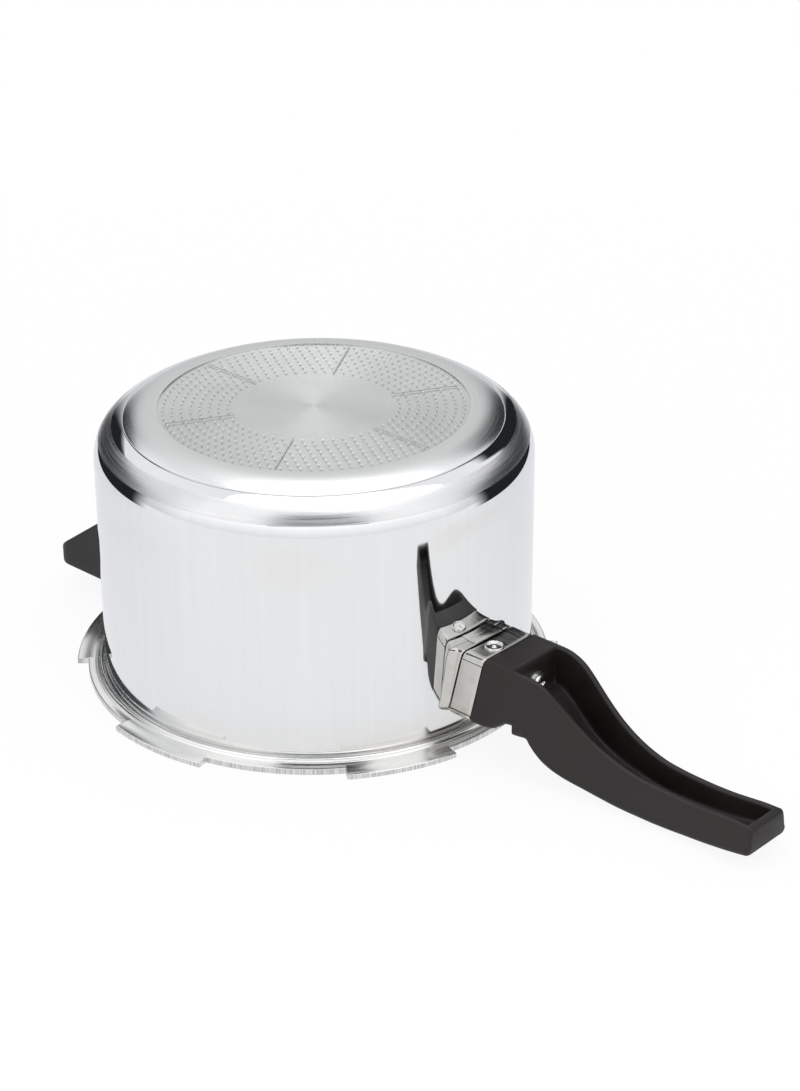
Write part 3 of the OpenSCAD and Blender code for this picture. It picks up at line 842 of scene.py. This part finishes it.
def build_tab():
    """The thin tab on the bracket, from inside the wall to its front."""
    back = PAN_R - 1.6
    front = bracket_front(0.0, HANDLE_HIGH) - 0.3
    bm = bmesh.new()
    for v in bmesh.ops.create_cube(bm, size=1.0)["verts"]:
        v.co.x = front if v.co.x > 0 else back
        v.co.y = TAB_Y[1] if v.co.y > 0 else TAB_Y[0]
        v.co.z = TAB_TOP if v.co.z > 0 else TAB_LOW
    edges = bm.edges[:]
    bmesh.ops.bevel(bm, geom=edges, offset=TAB_BEVEL, segments=3, profile=0.5, affect="EDGES")
    made = piece("bracket_tab", bm, ["satin_steel"])
    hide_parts("handle_bracket")


def build_ferrule():
    bm = bmesh.new()
    loop = section_loop(HANDLE_LOW, HANDLE_HIGH, CORNER_R, PANEL_LINES)
    pillow(bm, loop, on_collar(FERRULE_GAP), on_seam, 0.35, 6)
    made = piece("ferrule_sleeve", bm, ["satin_steel"])
    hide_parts("handle_ferrule")


# --------------------------------------------------------------- long grip

# Half width and edges of the grip at stations along x, as measured in the
# photograph through the camera below, and then evened
GRIP_HALF = curve_through(
    [(110, 26.95), (150, 26.95), (158, 25.9), (166, 24.4), (174, 22.4), (182, 20.4)]
    + [(190, 18.7), (198, 17.3), (206, 16.2), (222, 14.9), (240, 14.6), (262, 14.9), (284, 16.0)]
)
GRIP_UPPER = curve_through(
    [(124, 52.5), (147, 52.6), (153, 52.4), (158, 51.6), (163, 49.8), (167, 47.2)]
    + [(172, 43.3), (177, 39.3), (184, 34.0), (191, 29.5), (200, 25.2), (211, 21.6)]
    + [(221, 19.8), (232, 19.1), (244, 18.9), (254, 19.1), (266, 20.1), (275, 20.8), (284, 20.8)]
)
GRIP_LOWER = curve_through(
    [(124, 19.0), (132, 19.2), (138, 20.2), (142, 22.7), (146.3, 25.5), (150.4, 26.0)]
    + [(151.0, 21.8), (154.5, 21.9), (158.1, 22.0), (161.1, 18.8), (164.4, 15.6), (168.3, 12.6)]
    + [(174, 9.5), (181.4, 6.9), (189, 5.2), (198.4, 3.3), (207.8, 1.9), (218, 1.2), (226, 1.1)]
    + [(236, 1.4), (247, 2.2), (257, 3.0), (268, 4.3), (277, 5.8), (284, 7.2)]
)
POCKET_FLOOR = curve_through(
    [(140, 33.0), (150, 32.0), (158, 28.0), (168, 20.5), (180, 14.2)]
    + [(200, 8.9), (224, 6.4), (250, 7.4), (284, 12.2)]
)

# Steps of the loft over the pocket's ends: distance from the end, share of depth
POCKET_OPENS = [(-1.0, 0.0), (-0.55, 0.012), (-0.25, 0.04), (0.0, 0.1)]
POCKET_OPENS += [(0.12, 0.35), (0.2, 0.7), (0.35, 0.95), (1.0, 1.0)]
POCKET_SHUTS = [(-1.0, 1.0), (-0.35, 0.95), (-0.2, 0.7), (-0.1, 0.35)]
POCKET_SHUTS += [(0.0, 0.1), (0.3, 0.03), (0.7, 0.0)]
# Steps over the tip's rounded edge: distance from the tip, pull inwards
TIP_ROUND = [(-2.2, 0.0), (-1.5, 0.1), (-0.8, 0.4), (-0.3, 0.85), (0.0, 1.5)]
# Steps over the edge at the ferrule: x at the lower edge, pull inwards
SEAM_ROUND = [(SEAM_X_LOW + 0.35, 0.35), (SEAM_X_LOW + 0.55, 0.1), (SEAM_X_LOW + 0.9, 0.0)]
# Both sides of the step behind the finger notch
NOTCH_STEP = (150.4, 151.0)
# Where sections stop leaning with the seam
LEAN_FROM, LEAN_TO = 126.0, 139.0


def grip_ring(station, draw, depth_share):
    """One section of the grip: half of it is listed, then mirrored.

    draw pulls the outline in, and depth_share opens the pocket.
    """
    low = GRIP_LOWER(station) + draw
    high = GRIP_UPPER(station) - draw
    wide = GRIP_HALF(station) - draw
    floor = POCKET_FLOOR(station)
    depth = (high - floor) * depth_share

    def half_at(z):
        return wide - DRAFT * z

    bottom_r = min(2.4, (high - low) * 0.3)
    top_r = 1.55
    lean = math.degrees(math.atan(DRAFT))
    half = [(0.0, low), (half_at(low) * 0.5, low)]
    half += arc(half_at(low) - bottom_r, low + bottom_r, bottom_r, -90, lean, 6)
    side_low, side_high = low + bottom_r * 1.25, high - top_r * 1.4
    for k in range(1, 6):
        z = side_low + (side_high - side_low) * k / 6
        half.append((half_at(z), z))
    half += arc(half_at(high) - top_r, high - top_r, top_r, lean, 90, 6)
    inner = half_at(high) - GRIP_WALL + draw
    lip = 1.3
    for t in (90, 115, 140, 160, 180):
        drop = lip * (1 - math.sin(math.radians(t))) if t < 180 else lip
        y = inner + lip + lip * math.cos(math.radians(t))
        half.append((y, high - min(drop, depth)))
    for share in (0.3, 0.6, 0.85):
        half.append((inner - 0.4 * share, high - max(min(lip, depth), depth * share)))
    foot = 1.6
    for t in (25, 55, 80):
        y = inner - 0.4 - foot * (1 - math.cos(math.radians(t)))
        z = high - depth + (foot * (1 - math.sin(math.radians(t))) if depth > lip + foot else 0.0)
        half.append((y, z))
    half.append(((inner - 2.0) * 0.5, high - depth))
    half.append((0.0, high - depth))
    left = [(-y, z) for y, z in reversed(half[1:-1])]
    return half + left


def build_grip():
    """The grip as a loft of sections; the pocket is a fold of each section."""
    stations = [(x, draw, 0.0) for x, draw in SEAM_ROUND]
    x = 127.0
    while x < POCKET_X - 1.2:
        stations.append((x, 0.0, 0.0))
        x += 1.5
    stations += [(POCKET_X + ahead, 0.0, share) for ahead, share in POCKET_OPENS]
    x = POCKET_X + 1.6
    while x < POCKET_END - 1.2:
        stations.append((x, 0.0, 1.0))
        x += 1.5 if x < 190 else 2.5
    stations += [(x, 0.0, 1.0) for x in NOTCH_STEP]
    stations += [(POCKET_END + ahead, 0.0, share) for ahead, share in POCKET_SHUTS]
    stations += [(GRIP_END + ahead, draw, 0.0) for ahead, draw in TIP_ROUND]
    stations.sort(key=lambda s: s[0])
    rise = (SEAM_X_HIGH - SEAM_X_LOW) / (HANDLE_HIGH - HANDLE_LOW)
    rings = []
    for station, draw, share in stations:
        lean = rise * (1 - smoothstep(LEAN_FROM, LEAN_TO, station))
        section = grip_ring(station, draw, share)
        rings.append([(station + lean * (z - HANDLE_LOW), y, z) for y, z in section])
    bm = bmesh.new()
    loft(bm, rings)
    made = piece("grip_body", bm, ["black_phenolic"], MOULDED_ANGLE)
    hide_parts("long_grip")


# ------------------------------------------------------------ helper handle


def helper_edges(x):
    """(low, high) of the helper's side view at distance x from the axis."""
    end_r = 6.0
    cx, cz = HELPER_END - end_r, HELPER_LOW + end_r
    # The slope leaves the land's end and touches the tip's arc at (tx, tz)
    dx, dz = HELPER_LAND_X - cx, HELPER_HIGH - cz
    a = math.atan2(dz, dx) - math.acos(end_r / math.hypot(dx, dz))
    tx, tz = cx + end_r * math.cos(a), cz + end_r * math.sin(a)
    if x <= HELPER_LAND_X:
        high = HELPER_HIGH
    elif x <= tx:
        share = (x - HELPER_LAND_X) / (tx - HELPER_LAND_X)
        high = HELPER_HIGH + (tz - HELPER_HIGH) * share
    else:
        high = cz + math.sqrt(max(end_r**2 - (x - cx) ** 2, 0.0))
    low = cz - math.sqrt(max(end_r**2 - (x - cx) ** 2, 0.0)) if x > cx else HELPER_LOW
    return low, high


def helper_ring(x, share, pull):
    """One section of the helper, made as the grip's sections are."""
    low, high = helper_edges(x)
    low += pull * 0.4
    high -= pull * 0.4
    corner = 8.0
    bend = max(0.0, x - (HELPER_END - corner))
    wide = HELPER_W - corner + math.sqrt(max(corner**2 - bend**2, 0.0)) - pull
    floor = HELPER_LOW + HELPER_WALL
    depth = max(high - floor, 0.0) * share
    edge = min(1.8, (high - low) * 0.32)
    half = [(0.0, low), (wide * 0.33, low), (wide * 0.66, low)]
    half += arc(wide - edge, low + edge, edge, -90, 0, 5)
    for k in range(1, 5):
        half.append((wide, low + edge + (high - low - 2 * edge) * k / 5))
    half += arc(wide - edge, high - edge, edge, 0, 90, 5)
    inner = wide - HELPER_WALL
    lip = 1.2
    for t in (90, 120, 150, 180):
        y = inner + lip + lip * math.cos(math.radians(t))
        half.append((y, high - min(lip * (1 - math.sin(math.radians(t))), depth)))
    for part in (0.35, 0.7):
        half.append((inner, high - max(min(lip, depth), depth * part)))
    half.append((inner, high - max(depth - 1.5, 0.0) if depth > 4 else high - depth))
    half.append((inner - 1.5, high - depth))
    half += [(inner * 0.6, high - depth), (inner * 0.3, high - depth), (0.0, high - depth)]
    return half + [(-y, z) for y, z in reversed(half[1:-1])]


def build_helper():
    """The helper handle as a loft outwards from the pan's wall."""
    opens = [(-0.6, 0.0), (-0.2, 0.03), (0.0, 0.1), (0.12, 0.5), (0.3, 0.95), (0.9, 1.0)]
    shuts = [(-0.4, 1.0), (0.0, 0.6), (0.2, 0.1), (0.6, 0.0)]
    root = HELPER_R
    stations = [(root, 0.0, 0.5), (root + 0.4, 0.0, 0.0)]
    stations += [(root + 1.5 + 1.6 * k, 0.0, 0.0) for k in range(7)]
    stations += [(HELPER_POCKET_X + ahead, share, 0.0) for ahead, share in opens]
    stations += [(HELPER_POCKET_X + 2.2 + 1.9 * k, 1.0, 0.0) for k in range(17)]
    stations += [(HELPER_POCKET_END + ahead, share, 0.0) for ahead, share in shuts]
    stations += [(HELPER_END - left, 0.0, 0.0) for left in (2.1, 1.2, 0.5, 0.15)]
    rings = []
    for x, share, pull in stations:
        # The root's sections curve round the wall, and flatten out past it
        curved = 1 - smoothstep(root, HELPER_LAND_X + 1, x)
        points = []
        for y, z in helper_ring(x, share, pull):
            dip = root - math.sqrt(root**2 - y * y)
            points.append((-(x - dip * curved), y, z))
        rings.append(points)
    bm = bmesh.new()
    loft(bm, rings)
    made = piece("helper_body", bm, ["black_phenolic"], MOULDED_ANGLE)
    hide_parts("helper_grip")


# ------------------------------------------------------------------ screws


def screw_head(name, cad_node, radius, height, recess, place):
    """Domed head with a cross recess, turned into place by a matrix."""
    rows, spokes = 14, 72
    arm, reach = radius * 0.13, radius * 0.56

    def top(x, y):
        dome = height * (0.62 + 0.38 * math.sqrt(max(1 - (math.hypot(x, y) / radius) ** 2, 0.0)))
        cut = 0.0
        for a, b in ((x, y), (y, x)):
            side = 1 - smoothstep(arm * 0.75, arm * 1.25, abs(a))
            end = 1 - smoothstep(reach * 0.8, reach, abs(b))
            cut = max(cut, side * end)
        return dome - cut * recess

    bm = bmesh.new()
    turns = [TAU * i / spokes for i in range(spokes)]
    centre = bm.verts.new((0, 0, top(0, 0)))
    previous = None
    for k in range(1, rows + 1):
        r = radius * math.sin(math.pi / 2 * k / rows) * 0.995
        now = [spun(bm, r, top(r * math.cos(t), r * math.sin(t)), t) for t in turns]
        if previous is None:
            for a, b in zip(now, now[1:] + now[:1]):
                bm.faces.new((centre, a, b))
        else:
            bridge(bm, previous, now)
        previous = now
    for r, z in ((radius, height * 0.5), (radius, height * 0.1), (radius * 0.97, 0.0)):
        now = [spun(bm, r, z, t) for t in turns]
        bridge(bm, previous, now)
        previous = now
    bm.faces.new(previous)
    bmesh.ops.transform(bm, matrix=place, verts=bm.verts)
    made = piece(name, bm, ["bright_steel"], math.radians(60))
    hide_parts(cad_node)


def build_ferrule_screw():
    """A raised round lip about a dish, with the screw's small dome in it."""
    profile = [(0, 0.0), (4.7, 0.0)] + arc(4.4, 0.65, 0.35, -60, 90, 6)
    profile += arc(4.3, 0.65, 0.35, 90, 170, 4) + [(3.8, 0.25), (3.5, 0.12), (1.3, 0.12)]
    profile += arc(0, -0.25, 1.2, 20, 90, 8)[:-1] + [(0, 0.95)]
    bm = bmesh.new()
    lathe(bm, profile, segments=96)
    place = Matrix.Translation((*FERRULE_SCREW_XY, HANDLE_HIGH - 0.05))
    bmesh.ops.transform(bm, matrix=place, verts=bm.verts)
    made = piece("ferrule_screw_head", bm, ["bright_steel"])
    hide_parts("ferrule_screw")


def build_screws():
    """The grip's and the helper's screws, seen down their pockets."""
    outwards = Matrix.Rotation(math.radians(90), 4, "Y") @ Matrix.Rotation(0.6, 4, "Z")
    place = Matrix.Translation((POCKET_X + WASHER_T, 0, SCREW_Z)) @ outwards
    screw_head("grip_screw_head", "grip_screw", GRIP_SCREW_R, SCREW_H, RECESS, place)
    outwards = Matrix.Rotation(math.radians(-90), 4, "Y")
    place = Matrix.Translation((-HELPER_POCKET_X - WASHER_T, 0, HELPER_SCREW_Z)) @ outwards
    screw_head("helper_screw_head", "helper_screw", HELPER_SCREW_R, SCREW_H, RECESS, place)


# ------------------------------------------------------------------- build

build_shell()
build_rim()
build_disc()
build_plate()
build_bracket()
build_tab()
build_ferrule()
build_grip()
build_helper()
build_ferrule_screw()
build_screws()

# Every CAD node takes the material of its slot, for those that stay in sight
slots = {part["node"]: part["material_slot"] for part in frame["record"]["subparts"]}
for name, node in nodes.items():
    node.data.materials.clear()
    node.data.materials.append(MATERIALS[slots[name]])


# ------------------------------------------------------------------- stage


def stage_plane(name, corners, place, material):
    """A flat card that is part of the studio, not of the object."""
    bm = bmesh.new()
    bm.faces.new([bm.verts.new((x, y, 0)) for x, y in corners])
    mesh = bpy.data.meshes.new(name)
    bm.to_mesh(mesh)
    bm.free()
    mesh.materials.append(material)
    made = bpy.data.objects.new(name, mesh)
    bpy.context.scene.collection.objects.link(made)
    made.matrix_world = place
    return made


# Degrees from the long handle round to the camera's right, seen from above
CAMERA_TURN = 42.66


def studio_point(azimuth, distance, height):
    """A point about the pan; azimuth 0 is the camera's right, 90 is behind."""
    t = math.radians(azimuth + CAMERA_TURN)
    return Vector((distance * math.cos(t), distance * math.sin(t), height))


def toward_camera(g, spot):
    """How far a place or a direction lies toward the camera's side."""
    front = g.node("ShaderNodeVectorMath", operation="DOT_PRODUCT")
    front.inputs[1].default_value = studio_point(-90, 1.0, 0.0)
    g.wire(spot, front, 0)
    return front.outputs["Value"]


def mirrored_rays(g, rays):
    """1 for the rays by which metal or glass sees the studio, else 0."""
    return g.math("MAXIMUM", rays["Is Glossy Ray"], rays["Is Transmission Ray"])


def floor_material():
    """A white table that takes the pan's shadow near the pan."""
    made = bpy.data.materials.new("white_table")
    g = Graph(made)
    g.nodes.clear()
    rays = g.node("ShaderNodeLightPath").outputs
    spot = g.position()
    # The metal sees a table that grows greyer and cooler away from the camera
    grey = g.blend(g.span(toward_camera(g, spot), -0.15, 0.2), (0.84, 0.855, 0.885), WHITE)
    glow = g.node("ShaderNodeEmission")
    glow.inputs["Strength"].default_value = 1.0
    g.wire(g.blend(rays["Is Glossy Ray"], WHITE, grey), glow, "Color")
    diffuse = g.node("ShaderNodeBsdfDiffuse")
    diffuse.inputs["Color"].default_value = tint(0.93)
    # Nearly white to the eye near the pan, and wholly white further off
    away = g.node("ShaderNodeVectorMath", operation="LENGTH")
    g.wire(spot, away, 0)
    share = g.span(away.outputs["Value"], 0.3, 0.75, 0.9)
    seen = g.math("MAXIMUM", rays["Is Camera Ray"], mirrored_rays(g, rays))
    look = g.mix_shader(g.math("MULTIPLY", seen, share), diffuse.outputs[0], glow.outputs[0])
    g.wire(look, g.node("ShaderNodeOutputMaterial"), "Surface")
    return made


def flag_material(name, shade, soft):
    """A dark card that fades out over its two ends and its top edge."""
    made = bpy.data.materials.new(name)
    g = Graph(made)
    g.nodes.clear()
    dark = g.node("ShaderNodeEmission")
    dark.inputs["Color"].default_value = tint(shade)
    clear = g.node("ShaderNodeBsdfTransparent")
    across, up, _through = g.split(g.node("ShaderNodeTexCoord").outputs["Generated"])
    left = g.span(across, 0.0, soft, kind="SMOOTHSTEP")
    right = g.span(across, 1.0, 1 - soft, kind="SMOOTHSTEP")
    top = g.span(up, 1.0, 1 - soft, kind="SMOOTHSTEP")
    factor = g.math("MULTIPLY", g.math("MULTIPLY", left, right), top)
    look = g.mix_shader(factor, clear.outputs[0], dark.outputs[0])
    g.wire(look, g.node("ShaderNodeOutputMaterial"), "Surface")
    return made


def flag(name, azimuth, distance, width, low, highs, material):
    """A card that only the metal sees, standing upright to face the pan.

    highs are the heights of its top edge at its two ends, as azimuth grows.
    """
    place = Matrix.Translation(studio_point(azimuth, distance, 0))
    place = place @ Matrix.Rotation(math.radians(azimuth + CAMERA_TURN + 90), 4, "Z")
    place = place @ Matrix.Rotation(math.radians(90), 4, "X")
    w = width / 2
    corners = [(-w, low), (w, low), (w, highs[1]), (-w, highs[0])]
    made = stage_plane(name, corners, place, material)
    made.visible_camera = False
    made.visible_diffuse = False
    made.visible_shadow = False
    made.visible_transmission = False


table = [(-20, -20), (20, -20), (20, 20), (-20, 20)]
stage_plane("floor", table, Matrix.Identity(4), floor_material())
black = flag_material("black_flag", (0.018, 0.019, 0.022), 0.18)
slate = flag_material("slate_flag", (0.03, 0.042, 0.055), 0.04)
flag("flag_left", 149, 0.55, 0.86, 0.02, (0.46, 0.34), black)
flag("flag_right", 25, 0.6, 0.84, 0.02, (0.42, 0.5), black)
flag("flag_right_high", 56, 0.62, 0.34, 0.10, (0.7, 0.7), black)
flag("flag_camera", -87, 1.1, 1.1, 0.74, (2.2, 2.2), slate)


def background(g, colour, strength):
    made = g.node("ShaderNodeBackground")
    g.feed(colour, made, "Color")
    made.inputs["Strength"].default_value = strength
    return made.outputs[0]


def build_world():
    """Soft light, a white cloth that the metal mirrors, and white behind."""
    world = bpy.data.worlds.new("studio")
    bpy.context.scene.world = world
    g = Graph(world)
    g.nodes.clear()
    rays = g.node("ShaderNodeLightPath").outputs
    direction = g.node("ShaderNodeTexCoord").outputs["Generated"]
    # The cloth is brightest well above the horizon, and on the camera's side
    height = g.split(direction)[2]
    stops = ((0.34, 0.84), (0.6, 1.0), (0.9, 1.0))
    lit = g.ramp(height, (0.68, 0.685, 0.69), (0.94, 0.945, 0.95), 0.0, 1.0, stops)
    side = g.ramp(toward_camera(g, direction), (0.74, 0.745, 0.755), 1.0, 0.0, 0.35)
    cloth = background(g, g.blend(1.0, lit, side, "MULTIPLY"), 1.34)
    soft = background(g, (0.97, 0.985, 1.0), 0.72)
    backdrop = background(g, WHITE, 1.0)
    unseen = g.mix_shader(mirrored_rays(g, rays), soft, cloth)
    look = g.mix_shader(rays["Is Camera Ray"], unseen, backdrop)
    g.wire(look, g.node("ShaderNodeOutputWorld"), "Surface")


build_world()


def softbox(name, azimuth, distance, height, size, power, mirrored):
    """A rectangular lamp that faces the pan."""
    light = bpy.data.lights.new(name, "AREA")
    light.shape = "RECTANGLE"
    light.size, light.size_y = size
    light.energy = power
    made = bpy.data.objects.new(name, light)
    bpy.context.scene.collection.objects.link(made)
    made.location = studio_point(azimuth, distance, height)
    aim = Vector((0, 0, 0.06)) - made.location
    made.rotation_euler = aim.to_track_quat("-Z", "Y").to_euler()
    # Polished metal mirrors the cloth before the front lamps, not their hard edges
    made.visible_glossy = mirrored


softbox("key", -142, 1.4, 1.3, (1.6, 1.4), 8.5, False)
softbox("top", 60, 0.3, 1.9, (1.6, 1.4), 8, True)
softbox("fill", -38, 1.5, 0.9, (1.3, 1.2), 5.5, False)

# ------------------------------------------------------------------ camera

# The photograph's camera, turned about the pan's axis by CAMERA_TURN. It stands
# this far back, aside and up in metres, looks down by its dip and has a lens in
# mm behind a sensor as high as the frame
CAMERA_BACK = 1.23169
CAMERA_ASIDE = 0.04241
CAMERA_UP = 0.68908
CAMERA_DIP = 26.936
CAMERA_ROLL = -0.26
SENSOR = 36
LENS = 89.58753

camera_data = bpy.data.cameras.new("camera")
camera_data.sensor_width = SENSOR
camera_data.lens = LENS
camera = bpy.data.objects.new("camera", camera_data)
bpy.context.scene.collection.objects.link(camera)
turn = Matrix.Rotation(math.radians(CAMERA_TURN), 4, "Z")
place = Matrix.Translation((CAMERA_ASIDE, -CAMERA_BACK, CAMERA_UP))
look = Matrix.Rotation(math.radians(90 - CAMERA_DIP), 4, "X")
roll = Matrix.Rotation(math.radians(CAMERA_ROLL), 4, "Z")
camera.matrix_world = turn @ place @ look @ roll
bpy.context.scene.camera = camera

bpy.context.scene.view_settings.view_transform = "Standard"
